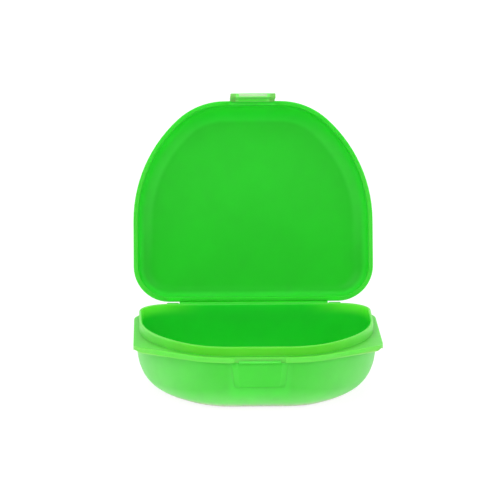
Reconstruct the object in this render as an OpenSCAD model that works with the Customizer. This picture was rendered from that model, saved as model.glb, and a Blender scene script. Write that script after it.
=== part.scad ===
// Orthodontic retainer case: a D-shaped moulded base and lid on a pinned hinge, with a snap latch tab.
// Millimetres, +Z up, +Y to the hinge. The origin is the middle of the base's resting face.

/* [Outline] */
// Width of the case across its straight sides
case_w = 80; // [76:0.5:90]
// Depth of the case from its straight front to its straight rear
case_d = 67; // [64:0.5:76]
// Radius of the tighter curve at each end of the straight front
front_r = 23.4; // [21:0.1:25]
// Turn of that tighter curve before the wide side curve takes over, in degrees
front_turn = 42.3; // [38:0.1:45]
// Radius of the wide curve that runs into each straight side
side_r = 46; // [42:0.5:48]
// Radius of the two rear corners
rear_r = 11.8; // [10:0.1:14]

/* [Base] */
// Height of the parting plane, where the lid's rim sits on the flange
parting_z = 19; // [17:0.5:24]
// Thickness of the base wall
base_wall = 1.8; // [1.5:0.1:2.2]
// Thickness of the base floor
base_floor = 1.6; // [1.2:0.1:2.4]
// Distance from the flange's edge in to the wall below it
wall_setback = 1; // [0.9:0.1:1.6]
// How far the wall curves in by the floor, at the front and the sides
bowl_reach = 14.6; // [10:0.1:16]
// How far the wall curves in by the floor, at the hinge side
bowl_rear_reach = 6; // [4:0.1:9]
// Squareness of the wall's curve, where 2 is an ellipse
bowl_power = 2.7; // [2:0.05:3.2]

/* [Flange] */
// Thickness of the flange
flange_t = 1.8; // [1.4:0.1:2.4]
// Distance from the straight front back to the corner of each grip ear
ear_setback = 16.2; // [14:0.1:22]
// How far the corner of each grip ear stands out past the lid's side
ear_out = 0.4; // [0:0.05:1]
// Radius of the grip ears' corners
ear_r = 2.6; // [1:0.1:4]
// Height of the raised collar above the flange
collar_h = 3; // [2:0.1:4]
// Rounding of the collar's upper edge
collar_round = 0.35; // [0.2:0.05:0.45]

/* [Lid] */
// Depth of the lid from its rim to its flat top
lid_h = 9; // [8:0.1:12]
// Thickness of the lid wall and top
lid_wall = 1.4; // [1.2:0.1:1.6]
// Height of the lid's upright skirt before its wall curves in
lid_skirt = 2.6; // [2.4:0.1:3.2]
// How far the lid's wall curves in by its flat top, at the front and the sides
lid_reach = 7.6; // [5:0.1:10]
// How far the lid's wall curves in by its flat top, at the hinge side
lid_rear_reach = 6; // [4:0.1:8]
// Squareness of the lid wall's curve, where 2 is an ellipse
lid_power = 2.2; // [2:0.05:3]
// Gap between the lid's skirt and the collar that it closes over
collar_gap = 0.3; // [0.2:0.05:0.5]
// Angle that the lid stands open against its stop, in degrees
open_angle = 105; // [90:1:115]

/* [Hinge] */
// Outer radius of the knuckles
knuckle_r = 2.2; // [1.9:0.1:2.4]
// Gap between the knuckles and the edges of the flange and the lid
knuckle_gap = 0.4; // [0.3:0.05:0.6]
// Radius of the hinge pin
pin_r = 1; // [0.8:0.05:1.2]
// Radial clearance of the pin where it is held in the base knuckles
pin_hold = 0.01; // [0.01:0.005:0.03]
// Radial clearance of the pin where the lid knuckle turns on it
pin_run = 0.05; // [0.03:0.01:0.1]
// Length of the whole row of knuckles
hinge_len = 58; // [50:1:60]
// Length of each base knuckle
knuckle_len = 4; // [3:0.5:6]
// End gap between neighbouring knuckles
end_gap = 0.25; // [0.2:0.05:0.5]
// Thickness of the leaf that joins the lid knuckle to the lid
leaf_t = 2; // [1.6:0.1:2.2]
// Gap between each leaf and the parting plane
leaf_gap = 0.2; // [0.1:0.05:0.4]
// Thickness of the stop heel on the lid knuckle
heel_t = 0.8; // [0.6:0.05:1]
// How far the stop heel reaches past the flange's lower edge
heel_reach = 0.3; // [0.2:0.05:0.6]
// Gap left at the stop when the lid stands open, in degrees
stop_gap = 2; // [1:0.5:4]

/* [Latch] */
// Width of the latch tab
tab_w = 15; // [12:0.1:15.4]
// Thickness of the latch tab
tab_t = 1.1; // [1:0.05:1.4]
// Length of the tab below the parting plane when the case is closed
tab_drop = 9.6; // [8:0.1:10]
// Height of the tab's root above the parting plane
tab_rise = 2.5; // [2.2:0.1:2.8]
// Gap between the lid's front face and the tab
tab_gap = 0.5; // [0.5:0.05:0.7]
// How far the barb reaches in from the tab
barb_reach = 0.9; // [0.7:0.05:1]
// Height of the barb's sloping underside
barb_ramp = 2; // [1.5:0.1:2.5]
// Height of the barb's blunt tip
barb_tip = 0.5; // [0.3:0.05:0.8]
// How far the pull lip stands out at the tab's lower end
lip_out = 0.2; // [0.1:0.05:0.6]
// Height of the pull lip
lip_h = 1.3; // [1:0.1:1.8]
// Width of the stiffening rib along each end of the tab
rib_w = 1.8; // [1.2:0.1:2.2]
// How far those ribs stand in from the tab
rib_in = 0.3; // [0.2:0.05:0.35]
// Thickness of the root rail that carries the tab on the lid
rail_t = 0.4; // [0.3:0.05:0.45]
// Gap between the root rail and the parting plane
rail_gap = 0.4; // [0.2:0.05:0.8]
// Gap at each end between the tab and the notch in the flange
notch_gap = 0.65; // [0.4:0.05:1]
// Rounding of the flange's corners at the notch
notch_r = 0.7; // [0.3:0.1:1]
// Width of the landing pad at its top
pad_w = 14.5; // [11.5:0.1:14.8]
// Amount that each side of the pad draws in by its lower end
pad_draft = 0.75; // [0.3:0.05:1.2]
// Height of the landing pad below the flange
pad_h = 8.2; // [6:0.1:8.6]
// How far the pad stands out from the wall under the flange
pad_proud = 0.4; // [0.2:0.05:0.6]
// Length of the catch ridge
ridge_w = 13.4; // [10:0.1:13.6]
// Height of the catch ridge
ridge_h = 0.8; // [0.6:0.05:1]
// How far the ridge's underside lies below the flange's
ridge_drop = 0.2; // [0:0.05:0.4]
// How far the catch ridge stands out past the flange's edge
ridge_past = 0.1; // [0:0.02:0.14]
// Gap between the ridge and the barb when the case is closed
catch_gap = 0.12; // [0.08:0.02:0.3]

/* [Hidden] */
$fn = 48;
// Steps along each stretch of the outline and up each wall
front_steps = 7;
side_steps = 9;
rear_steps = 8;
wall_steps = 9;
// A small length by which a cut runs past the face that it opens
past = 0.5;

// The straight front's half length, and the height and centres of the curves beside it
front_half = case_w / 2 - front_r * sin(front_turn) - side_r * (1 - sin(front_turn));
front_y = -case_d / 2;
rear_y = case_d / 2;
side_centre = [case_w / 2 - side_r, front_y + front_r * (1 - cos(front_turn)) + side_r * cos(front_turn)];

// Levels and insets of the base
flange_z = parting_z - flange_t;
collar_inset = lid_wall + collar_gap;
inner_inset = wall_setback + base_wall;
collar_z = parting_z + collar_h;
// The step from the wall to the collar, inside the flange
shoulder_z = flange_z + flange_t / 2;

// The hinge axis lies in the parting plane behind the rear edges
hinge_y = rear_y + knuckle_r + knuckle_gap;
lid_knuckle_len = hinge_len - 2 * (knuckle_len + end_gap);

// The latch, measured outwards from the straight front when the case is closed
tab_in_y = front_y - tab_gap;
tab_out_y = tab_in_y - tab_t;
pad_y = front_y + wall_setback - pad_proud;
ridge_z = flange_z - ridge_drop;
barb_z = ridge_z - catch_gap;
notch_w = tab_w + 2 * notch_gap;

// Points of the D outline moved in by side at the front and sides, and by rear at the hinge edge,
// anticlockwise from the front
function half_outline(side, rear) =
  let (corner = max(rear_r - rear, 1),
       corner_x = case_w / 2 - side - corner,
       corner_y = rear_y - rear - corner)
  concat(
    [for (i = [0:front_steps - 1]) let (a = front_turn * i / front_steps)
      [front_half + (front_r - side) * sin(a), front_y + front_r - (front_r - side) * cos(a)]],
    [for (i = [0:side_steps]) let (a = front_turn + (90 - front_turn) * i / side_steps)
      side_centre + (side_r - side) * [sin(a), -cos(a)]],
    [for (i = [0:rear_steps]) let (a = 90 * i / rear_steps)
      [corner_x + corner * cos(a), corner_y + corner * sin(a)]]);
function outline(side, rear) =
  let (right = half_outline(side, rear))
  concat(right, [for (i = [len(right) - 1:-1:0]) [-right[i][0], right[i][1]]]);

// One curved wall as [side inset, rear inset, height], from its upper edge to its flat end
function wall_curve(edge, reach, rear_reach, power, from_z, to_z) =
  [for (i = [0:wall_steps]) let (a = 90 * i / wall_steps, bend = 1 - pow(cos(a), 2 / power))
    [edge + reach * bend, edge + rear_reach * bend, from_z + (to_z - from_z) * pow(sin(a), 2 / power)]];
function straight(inset, z) = [inset, inset, z];
function backwards(list) = [for (i = [len(list) - 1:-1:0]) list[i]];

base_outside = wall_curve(wall_setback, bowl_reach, bowl_rear_reach, bowl_power, flange_z, 0);
base_inside = wall_curve(inner_inset, bowl_reach - base_wall, bowl_rear_reach - base_wall, bowl_power,
                         flange_z, base_floor);
lid_outside = wall_curve(0, lid_reach, lid_rear_reach, lid_power, parting_z + lid_skirt,
                         parting_z + lid_h);
lid_inside = wall_curve(lid_wall, lid_reach - lid_wall, lid_rear_reach - lid_wall, lid_power,
                        parting_z + lid_skirt, parting_z + lid_h - lid_wall);

// A closed solid through a list of outlines, flat at its first and last
module loft(rings) {
  count = len(outline(0, 0));
  last = len(rings) - 1;
  points = [for (r = rings) for (p = outline(r[0], r[1])) [p[0], p[1], r[2]]];
  sides = [for (i = [0:last - 1]) for (j = [0:count - 1]) let (
      a = i * count + j, b = i * count + (j + 1) % count, c = b + count, d = a + count)
    each [[a, c, b], [a, d, c]]];
  first_cap = [for (j = [0:count - 1]) j];
  last_cap = [for (j = [count - 1:-1:0]) last * count + j];
  polyhedron(points, concat([first_cap], sides, [last_cap]), convexity = 6);
}

// Places what is modelled on the closed lid where it stands with the lid open
module on_open_lid() {
  translate([0, hinge_y, parting_z]) rotate([-open_angle, 0, 0])
    translate([0, -hinge_y, -parting_z]) children();
}

// A round bar along X, centred
module bar(r, length) {
  rotate([0, 90, 0]) cylinder(r = r, h = length, center = true);
}

// A side view of Y and Z points drawn out along X, centred
module across(width, points) {
  rotate([90, 0, 90]) translate([0, 0, -width / 2]) linear_extrude(width) polygon(points);
}

// The flange's outline: the D drawn out to the corners of two grip ears, less the latch tab's notch
module flange_2d() {
  ear_x = case_w / 2 + ear_out;
  ear_y = front_y + ear_setback;
  offset(r = notch_r) offset(delta = -notch_r) difference() {
    offset(r = ear_r) offset(delta = -ear_r)
      hull() polygon(concat(outline(0, 0), [[-ear_x, ear_y], [ear_x, ear_y]]));
    translate([-notch_w / 2, front_y - past]) square([notch_w, wall_setback + past]);
  }
}

module base_tray() {
  wall = concat(
    backwards(base_outside),
    [straight(wall_setback, shoulder_z),
     straight(collar_inset, shoulder_z + collar_round),
     straight(collar_inset, collar_z - collar_round),
     straight(collar_inset + collar_round, collar_z),
     straight(inner_inset - collar_round, collar_z),
     straight(inner_inset, collar_z - collar_round)],
    base_inside);
  flange_root = (collar_inset + inner_inset) / 2;
  color("limegreen") union() {
    loft(wall);
    translate([0, 0, flange_z]) linear_extrude(flange_t) difference() {
      flange_2d();
      polygon(outline(flange_root, flange_root));
    }
  }
}

module base_knuckles() {
  leaf_z = parting_z - leaf_gap;
  middle = (hinge_len - knuckle_len) / 2;
  color("green") for (s = [-1, 1]) translate([s * middle, 0, 0]) difference() {
    union() {
      translate([0, hinge_y, parting_z]) bar(knuckle_r, knuckle_len);
      across(knuckle_len, [[rear_y, flange_z], [hinge_y, flange_z], [hinge_y, leaf_z], [rear_y, leaf_z]]);
    }
    translate([0, hinge_y, parting_z]) bar(pin_r + pin_hold, knuckle_len + past);
  }
}

module hinge_pin() {
  color("darkgreen") translate([0, hinge_y, parting_z]) bar(pin_r, hinge_len);
}

module latch_keeper() {
  pad_z = flange_z - pad_h;
  low_w = pad_w - 2 * pad_draft;
  ridge_y = front_y - ridge_past;
  color("lime") union() {
    difference() {
      translate([0, pad_y, 0]) rotate([90, 0, 0]) translate([0, 0, -bowl_reach])
        linear_extrude(bowl_reach)
          polygon([[-low_w / 2, pad_z], [low_w / 2, pad_z], [pad_w / 2, ridge_z], [-pad_w / 2, ridge_z]]);
      loft(backwards(base_outside));
    }
    across(ridge_w, [[pad_y + pad_proud, ridge_z], [ridge_y, ridge_z], [ridge_y, ridge_z + ridge_h / 2],
                     [ridge_y + ridge_h / 2, ridge_z + ridge_h], [pad_y + pad_proud, ridge_z + ridge_h]]);
  }
}

module lid_shell() {
  color("limegreen") on_open_lid()
    loft(concat(backwards(lid_inside), [straight(lid_wall, parting_z), straight(0, parting_z)],
                lid_outside));
}

module lid_knuckle() {
  leaf_z = parting_z + leaf_gap;
  // The flange's lower rear edge as seen from the hinge axis, which the heel meets
  edge = [knuckle_r + knuckle_gap, flange_t];
  heel_turn = 180 + atan2(edge[1], edge[0]) + stop_gap + open_angle;
  color("green") on_open_lid() difference() {
    union() {
      translate([0, hinge_y, parting_z]) {
        bar(knuckle_r, lid_knuckle_len);
        rotate([heel_turn, 0, 0]) translate([-lid_knuckle_len / 2, 0, 0])
          cube([lid_knuckle_len, norm(edge) + heel_reach, heel_t]);
      }
      across(lid_knuckle_len, [[rear_y, leaf_z], [hinge_y, leaf_z], [hinge_y, leaf_z + leaf_t],
                               [rear_y, leaf_z + leaf_t]]);
    }
    translate([0, hinge_y, parting_z]) bar(pin_r + pin_run, lid_knuckle_len + past);
  }
}

module latch_root() {
  rail_z = parting_z + rail_gap;
  color("limegreen") on_open_lid()
    across(tab_w, [[front_y, rail_z], [front_y - rail_t, rail_z], [front_y - rail_t, parting_z + tab_rise],
                   [front_y, parting_z + tab_rise]]);
}

module latch_tab() {
  low_z = parting_z - tab_drop;
  top_z = parting_z + tab_rise;
  color("lime") on_open_lid() {
    across(tab_w, [[tab_in_y, low_z], [tab_in_y, top_z], [tab_out_y, top_z], [tab_out_y, low_z + 2 * lip_h],
                   [tab_out_y - lip_out, low_z + lip_h], [tab_out_y - lip_out, low_z]]);
    across(tab_w, [[tab_in_y, barb_z], [tab_in_y + barb_reach, barb_z],
                   [tab_in_y + barb_reach, barb_z - barb_tip], [tab_in_y, barb_z - barb_ramp]]);
    for (s = [-1, 1]) translate([s * (tab_w - rib_w) / 2, 0, 0])
      across(rib_w, [[tab_in_y, low_z], [tab_in_y + rib_in, low_z], [tab_in_y + rib_in, parting_z],
                     [tab_in_y, parting_z]]);
  }
}

base_tray();
base_knuckles();
latch_keeper();
hinge_pin();
lid_shell();
lid_knuckle();
latch_root();
latch_tab();
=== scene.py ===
"""Open retainer case: smooth moulded base, lid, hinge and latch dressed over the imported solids."""
import logging
import math
from collections.abc import Iterable
from dataclasses import dataclass
from enum import Enum
from typing import Any, Callable, Optional, Union

import bmesh
import bpy
from bmesh.types import BMEdge, BMesh, BMFace, BMLayerItem, BMVert
from mathutils import Matrix, Vector


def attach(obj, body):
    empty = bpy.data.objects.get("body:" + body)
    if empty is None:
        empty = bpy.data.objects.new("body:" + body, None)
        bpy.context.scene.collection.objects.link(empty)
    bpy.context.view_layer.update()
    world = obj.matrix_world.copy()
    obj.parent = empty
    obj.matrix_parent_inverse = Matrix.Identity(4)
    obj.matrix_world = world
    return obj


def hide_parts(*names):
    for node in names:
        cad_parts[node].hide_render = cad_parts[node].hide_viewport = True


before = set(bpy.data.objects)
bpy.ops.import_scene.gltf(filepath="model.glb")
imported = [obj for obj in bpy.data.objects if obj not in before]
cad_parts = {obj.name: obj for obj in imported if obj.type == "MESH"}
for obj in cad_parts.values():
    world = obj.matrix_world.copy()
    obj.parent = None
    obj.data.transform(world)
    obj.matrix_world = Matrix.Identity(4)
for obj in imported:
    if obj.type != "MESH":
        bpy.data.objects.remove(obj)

log = logging.getLogger("retainer_case")

Triple = tuple[float, float, float]
Span = tuple[float, float]
Ring = list[BMEdge]

MM = 0.001

# Heights closer than SAME count as one height, and lengths up to LEAST as nothing.
SAME, LEAST = 0.01 * MM, 0.001 * MM

WHITE: Triple = (1.0, 1.0, 1.0)
SHADING_WEIGHT = 80

# Places of the Mix node's colour sockets.
FACTOR, FIRST, SECOND, RESULT = 0, 6, 7, 2

# Smallest angles between two faces that count as an edge to round, in degrees.
SQUARE, SLOPED, FAINT = 60.0, 30.0, 8.0

# Shares of a normal from which a face counts as level, or as turned to one side.
LEVEL, TURNED = 0.9, 0.2


class Body(Enum):
    """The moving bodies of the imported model."""

    BASE = "base"
    LID = "lid"
    LATCH = "latch"


class Slot(Enum):
    """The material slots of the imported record."""

    BASE = "base_plastic"
    LID = "lid_plastic"
    LATCH = "latch_plastic"
    PIN = "pin_plastic"


class Val:
    """A node socket that takes part in Python arithmetic."""

    def __init__(self, graph: "Graph", socket: bpy.types.NodeSocket) -> None:
        """Wraps one socket of a graph."""
        self.graph = graph
        self.socket = socket

    def _math(self, operation: str, first: Any, second: Any) -> "Val":
        """Adds one Math node over two values."""
        return self.graph.add("ShaderNodeMath", {"operation": operation}, {0: first, 1: second})

    def __add__(self, other: Any) -> "Val":
        """self + other."""
        return self._math("ADD", self, other)

    def __radd__(self, other: Any) -> "Val":
        """other + self."""
        return self._math("ADD", other, self)

    def __sub__(self, other: Any) -> "Val":
        """self - other."""
        return self._math("SUBTRACT", self, other)

    def __rsub__(self, other: Any) -> "Val":
        """other - self."""
        return self._math("SUBTRACT", other, self)

    def __mul__(self, other: Any) -> "Val":
        """self * other."""
        return self._math("MULTIPLY", self, other)

    def __rmul__(self, other: Any) -> "Val":
        """other * self."""
        return self._math("MULTIPLY", other, self)

    def abs(self) -> "Val":
        """The size of self without its sign."""
        return self._math("ABSOLUTE", self, 0.0)

    def max(self, other: Any) -> "Val":
        """The larger of self and other."""
        return self._math("MAXIMUM", self, other)

    def rise(self, span: Span) -> "Val":
        """A smooth step from 0 at the span's start to 1 at its end."""
        return self.graph.add("ShaderNodeMapRange", {"interpolation_type": "SMOOTHSTEP"},
                              {"Value": self, "From Min": span[0], "From Max": span[1]})

    def fall(self, span: Span) -> "Val":
        """A smooth step from 1 at the span's start to 0 at its end."""
        return 1 - self.rise(span)

    def mix(self, first: Any, second: Any) -> "Val":
        """A colour that goes from first at 0 to second at 1."""
        return self.graph.add("ShaderNodeMix", {"data_type": "RGBA", "clamp_factor": True},
                              {FACTOR: self, FIRST: first, SECOND: second}, RESULT)

    def output(self, name: str) -> "Val":
        """Another output of the same node."""
        return Val(self.graph, self.socket.node.outputs[name])


@dataclass(frozen=True)
class Speckle:
    """One size of unevenness: its noise, and the stretch of the noise that shows."""

    scale: float
    detail: float
    span: Span = (0.0, 1.0)


class Graph:
    """A node tree that is written as expressions."""

    def __init__(self, owner: Union[bpy.types.Material, bpy.types.World]) -> None:
        """Empties a node tree, to be filled through add.

        Args:
            owner: The material or the world that has the tree.
        """
        owner.use_nodes = True
        self.tree = owner.node_tree
        self.tree.nodes.clear()

    def add(self, kind: str, settings: Optional[dict[str, Any]] = None,
            values: Optional[dict[Union[int, str], Any]] = None, out: Union[int, str] = 0) -> Val:
        """Adds any node.

        Args:
            kind: The node's type name.
            settings: Properties of the node, set before its sockets.
            values: Numbers, colours or wrapped sockets by input name or place.
            out: The output that is handed back.

        Returns:
            The wrapped output socket, or the first input of a node without outputs.
        """
        node = self.tree.nodes.new(kind)
        for name, value in (settings or {}).items():
            setattr(node, name, value)
        for key, value in (values or {}).items():
            socket = node.inputs[key]
            if isinstance(value, Val):
                self.tree.links.new(value.socket, socket)
            elif isinstance(value, tuple) and socket.type == "RGBA":
                socket.default_value = (*value, 1.0)
            else:
                socket.default_value = value
        return Val(self, node.outputs[out] if len(node.outputs) else node.inputs[0])

    def mark(self, name: str) -> Val:
        """A value that the mesh carries."""
        return self.add("ShaderNodeAttribute", {"attribute_name": name}, out="Fac")

    def noise(self, where: Val, speckle: Speckle) -> Val:
        """Noise of about 0 to 1 over a place."""
        return self.add("ShaderNodeTexNoise", {}, {
            "Vector": where, "Scale": speckle.scale, "Detail": speckle.detail})


class Spot:
    """What a finish knows of a shaded point: its place on the piece, and the mesh's marks from 0 to 1."""

    def __init__(self, graph: Graph) -> None:
        """Adds the nodes that read the point.

        Args:
            graph: The material's nodes.
        """
        self.where = graph.add("ShaderNodeTexCoord", out="Object")
        parts = graph.add("ShaderNodeSeparateXYZ", {}, {0: self.where})
        self.x = parts.output("X").abs()
        self.y = parts.output("Y")
        self.z = parts.output("Z")
        self.inside = graph.mark("inside")
        self.upright = graph.mark("upright")
        self.edge = graph.mark("edge")


FLOW = Speckle(scale=45.0, detail=3.0, span=(0.3, 0.7))
CLOUDS = Speckle(scale=190.0, detail=4.0, span=(0.25, 0.75))
GRAIN = Speckle(scale=3800.0, detail=2.0)
HAIRS = Speckle(scale=1.0, detail=3.0, span=(0.68, 0.78))
HAIR_TURN: Triple = (0.2, 0.5, 0.9)
HAIR_SCALE: Triple = (60.0, 4200.0, 2600.0)


@dataclass(frozen=True, kw_only=True)
class Plastic:
    """A moulded translucent plastic with a paler tone on its thin edges, painted light that shines through
    them.
    """

    name: str
    outer: Triple
    # glow: the thin edges' tone, painted light.
    glow: Triple
    satin: float = 0.46
    polish: float = 0.36
    cloud_mean: float = 0.5
    cloud_rough: float = 0.08
    hair_rough: float = 0.10
    mottle: float = 0.07
    flow_tone: float = 0.6
    cloud_tone: float = 0.4
    peel: float = 0.03
    peel_depth: float = 0.3 * MM
    inner_calm: float = 0.6
    cloud_relief: float = 0.4
    hair_relief: float = 0.3
    specular: float = 0.2
    ior: float = 1.49
    reach: float = 3.5 * MM
    spread: Triple = (0.5, 1.0, 0.35)

    def tint(self, spot: Spot) -> Val:
        """The plain colour, and the thin edges' painted-light tone."""
        return spot.edge.mix(self.outer, self.glow)

    def material(self) -> bpy.types.Material:
        """Builds the finish as a node material.

        Returns:
            The new material.
        """
        made = bpy.data.materials.new(self.name)
        graph = Graph(made)
        spot = Spot(graph)
        flow, clouds, grain = (graph.noise(spot.where, speckle) for speckle in (FLOW, CLOUDS, GRAIN))
        stretched = graph.add("ShaderNodeMapping", {}, {
            "Vector": spot.where, "Rotation": HAIR_TURN, "Scale": HAIR_SCALE})
        hairs = graph.noise(stretched, HAIRS).rise(HAIRS.span)
        blotches = flow.rise(FLOW.span) * self.flow_tone + clouds.rise(CLOUDS.span) * self.cloud_tone
        tone = 1 - self.mottle * blotches
        grey = graph.add("ShaderNodeCombineColor", {}, {0: tone, 1: tone, 2: tone})
        colour = graph.add("ShaderNodeMix", {"data_type": "RGBA", "blend_type": "MULTIPLY"},
                           {FACTOR: 1.0, FIRST: self.tint(spot), SECOND: grey}, RESULT)
        rough = self.satin + spot.inside * (self.polish - self.satin)
        rough = rough + (clouds - self.cloud_mean) * self.cloud_rough + hairs * self.hair_rough
        relief = grain * (1 - spot.inside * self.inner_calm)
        relief = relief + clouds * self.cloud_relief - hairs * self.hair_relief
        bump = graph.add("ShaderNodeBump", {}, {
            "Strength": self.peel, "Distance": self.peel_depth, "Height": relief})
        shader = graph.add("ShaderNodeBsdfPrincipled", {"subsurface_method": "RANDOM_WALK"}, {
            "Base Color": colour, "Roughness": rough, "Normal": bump, "IOR": self.ior,
            "Specular IOR Level": self.specular, "Subsurface Weight": 1.0,
            "Subsurface Scale": self.reach, "Subsurface Radius": self.spread})
        graph.add("ShaderNodeOutputMaterial", {}, {"Surface": shader})
        return made


@dataclass(frozen=True, kw_only=True)
class LitPlastic(Plastic):
    """The plastic of a small piece, with painted light on one side."""

    lit: Triple

    def tint(self, spot: Spot) -> Val:
        """The plain colour, and the painted light of the lit side."""
        return spot.inside.mix(super().tint(spot), self.lit)


@dataclass(frozen=True, kw_only=True)
class BasePlastic(Plastic):
    """The base's plastic, with painted light and shade: paler low down and at its sides, shaded on the
    hollow's floor and lit on its walls, lit through at its rim.
    """

    # upper: painted shade on the wall under the flange.
    upper: Triple
    # foot and sole: painted light from the white ground, on the wall's low part and along its bottom edge.
    foot: Triple
    sole: Triple
    # seat: painted light round the latch's seat, against the shade there.
    seat: Triple
    # inner and wall: painted shade on the hollow's floor, painted light on its upright walls.
    inner: Triple
    wall: Triple
    # corner: painted light shining through the hollow's upper rear corners.
    corner: Triple
    # thin and crest: painted light shining through the thin collar, with crest at its rear.
    thin: Triple
    crest: Triple
    # ear and shelf: the flange's painted-light edge tone at the ears, and a darker one on the top edges,
    # painted shade.
    ear: Triple
    shelf: Triple
    foot_z: Span = (-1 * MM, 9.5 * MM)
    side_x: Span = (8 * MM, 38 * MM)
    side_share: float = 0.36
    upper_z: Span = (8 * MM, 15 * MM)
    ground_z: Span = (0.0, 0.4 * MM)
    sole_y: Span = (-10 * MM, 15 * MM)
    sole_z: Span = (0.6 * MM, 3 * MM)
    seat_x: Span = (8 * MM, 11 * MM)
    seat_y: Span = (-31 * MM, -27 * MM)
    seat_z: Span = (3 * MM, 7 * MM)
    seat_share: float = 0.5
    wall_upright: Span = (0.0, 1.0)
    collar_x: Span = (18 * MM, 40 * MM)
    collar_z: Span = (18.9 * MM, 19.4 * MM)
    rear_y: Span = (20 * MM, 28 * MM)
    rear_z: Span = (21 * MM, 21.6 * MM)
    corner_x: Span = (15 * MM, 39 * MM)
    corner_y: Span = (10 * MM, 24 * MM)
    corner_z: Span = (17.5 * MM, 21.8 * MM)
    ear_x: Span = (30 * MM, 39 * MM)
    shelf_z: Span = (18.8 * MM, 18.98 * MM)

    def outside(self, spot: Spot) -> Val:
        """Mixes the outer wall's colour, all painted light and shade: darker under the flange, pale at its
        foot and sides and paler along the bottom edge, lit round the latch's seat.

        Args:
            spot: The shaded point.

        Returns:
            The colour.
        """
        pale = spot.z.fall(self.foot_z).max(spot.x.rise(self.side_x) * self.side_share)
        colour = pale.mix(spot.z.rise(self.upper_z).mix(self.outer, self.upper), self.foot)
        sole = spot.z.fall(self.sole_z) * spot.z.rise(self.ground_z) * spot.y.fall(self.sole_y)
        seat = spot.x.fall(self.seat_x) * spot.y.fall(self.seat_y) * spot.z.rise(self.seat_z)
        return (seat * self.seat_share).mix(sole.mix(colour, self.sole), self.seat)

    def tint(self, spot: Spot) -> Val:
        """Mixes the painted light and shade by side, height and thickness.

        Args:
            spot: The shaded point.

        Returns:
            The colour.
        """
        hollow = spot.upright.rise(self.wall_upright).mix(self.inner, self.wall)
        colour = spot.inside.mix(self.outside(spot), hollow)
        rear = spot.y.rise(self.rear_y) * spot.z.rise(self.rear_z)
        thin = spot.x.rise(self.collar_x).mix(rear.mix(self.thin, self.crest), self.glow)
        collar = spot.z.rise(self.collar_z) * (1 - spot.inside)
        corner = spot.x.rise(self.corner_x) * spot.y.rise(self.corner_y) * spot.z.rise(self.corner_z)
        colour = (corner * spot.inside).mix(collar.mix(colour, thin), self.corner)
        edge = spot.x.rise(self.ear_x).mix(rear.mix(self.glow, self.crest), self.ear)
        return spot.edge.mix(colour, spot.z.rise(self.shelf_z).mix(edge, self.shelf))


@dataclass(frozen=True, kw_only=True)
class LidPlastic(Plastic):
    """The open lid's plastic: plain outside, painted shade inside, with painted light on the ring of walls
    and on the thin rim.
    """

    # inner and low: painted shade on the floor, deeper low down near the hinge.
    inner: Triple
    low: Triple
    # wall, flank and steep: painted light on the ring of walls round the floor.
    wall: Triple
    flank: Triple
    steep: Triple
    # side, seam and seat: the rim's painted-light tones, paler at its sides, and lifting the shade at the
    # hinge and behind the tab.
    side: Triple
    seam: Triple
    seat: Triple
    floor_z: Span = (25 * MM, 65 * MM)
    ring_upright: Span = (0.02, 0.16)
    ring_z: Span = (28 * MM, 64 * MM)
    wall_z: Span = (72 * MM, 84 * MM)
    steep_upright: Span = (0.3, 0.6)
    side_x: Span = (30 * MM, 39 * MM)
    seam_x: Span = (27 * MM, 30 * MM)
    seam_z: Span = (21.5 * MM, 24 * MM)
    seat_x: Span = (6.5 * MM, 8.5 * MM)
    seat_z: Span = (80 * MM, 85 * MM)

    def hollow(self, spot: Spot) -> Val:
        """Mixes the colour inside: painted shade on the floor, and painted light on the ring of walls round
        it.

        Args:
            spot: The shaded point.

        Returns:
            The colour.
        """
        floor = spot.z.rise(self.floor_z).mix(self.low, self.inner)
        wall = spot.z.rise(self.wall_z).mix(self.flank, self.wall)
        ring = spot.upright.rise(self.ring_upright) * spot.z.rise(self.ring_z)
        return spot.upright.rise(self.steep_upright).mix(ring.mix(floor, wall), self.steep)

    def tint(self, spot: Spot) -> Val:
        """Mixes the colours by side, with the rim's painted-light tones at its sides, at the hinge and
        behind the tab.

        Args:
            spot: The shaded point.

        Returns:
            The colour.
        """
        seam = spot.x.fall(self.seam_x) * spot.z.fall(self.seam_z)
        seat = spot.x.fall(self.seat_x) * spot.z.rise(self.seat_z)
        edge = seam.mix(spot.x.rise(self.side_x).mix(self.glow, self.side), self.seam)
        return spot.edge.mix(spot.inside.mix(self.outer, self.hollow(spot)), seat.mix(edge, self.seat))


@dataclass(frozen=True, kw_only=True)
class TabPlastic(Plastic):
    """The latch tab's plastic: plain outside; inside, painted light makes it pale at the tip and in bands,
    and painted shade darkens the end ribs.
    """

    # plain is the outside's own colour; outer (the pale tip), root and band are painted light, rib is
    # painted shade.
    plain: Triple
    root: Triple
    band: Triple
    rib: Triple
    tip_z: Span = (88.4 * MM, 90.4 * MM)
    band_x: Span = (4.5 * MM, 4.9 * MM)
    rib_x: Span = (5.5 * MM, 5.9 * MM)

    def tint(self, spot: Spot) -> Val:
        """Mixes the painted light and shade by height and by the distance from the middle.

        Args:
            spot: The shaded point.

        Returns:
            The colour.
        """
        colour = spot.edge.mix(spot.z.rise(self.tip_z).mix(self.root, self.outer), self.glow)
        colour = spot.x.rise(self.band_x).mix(colour, self.band)
        colour = spot.x.rise(self.rib_x).mix(colour, self.rib)
        return spot.inside.mix(self.plain, colour)


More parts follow.
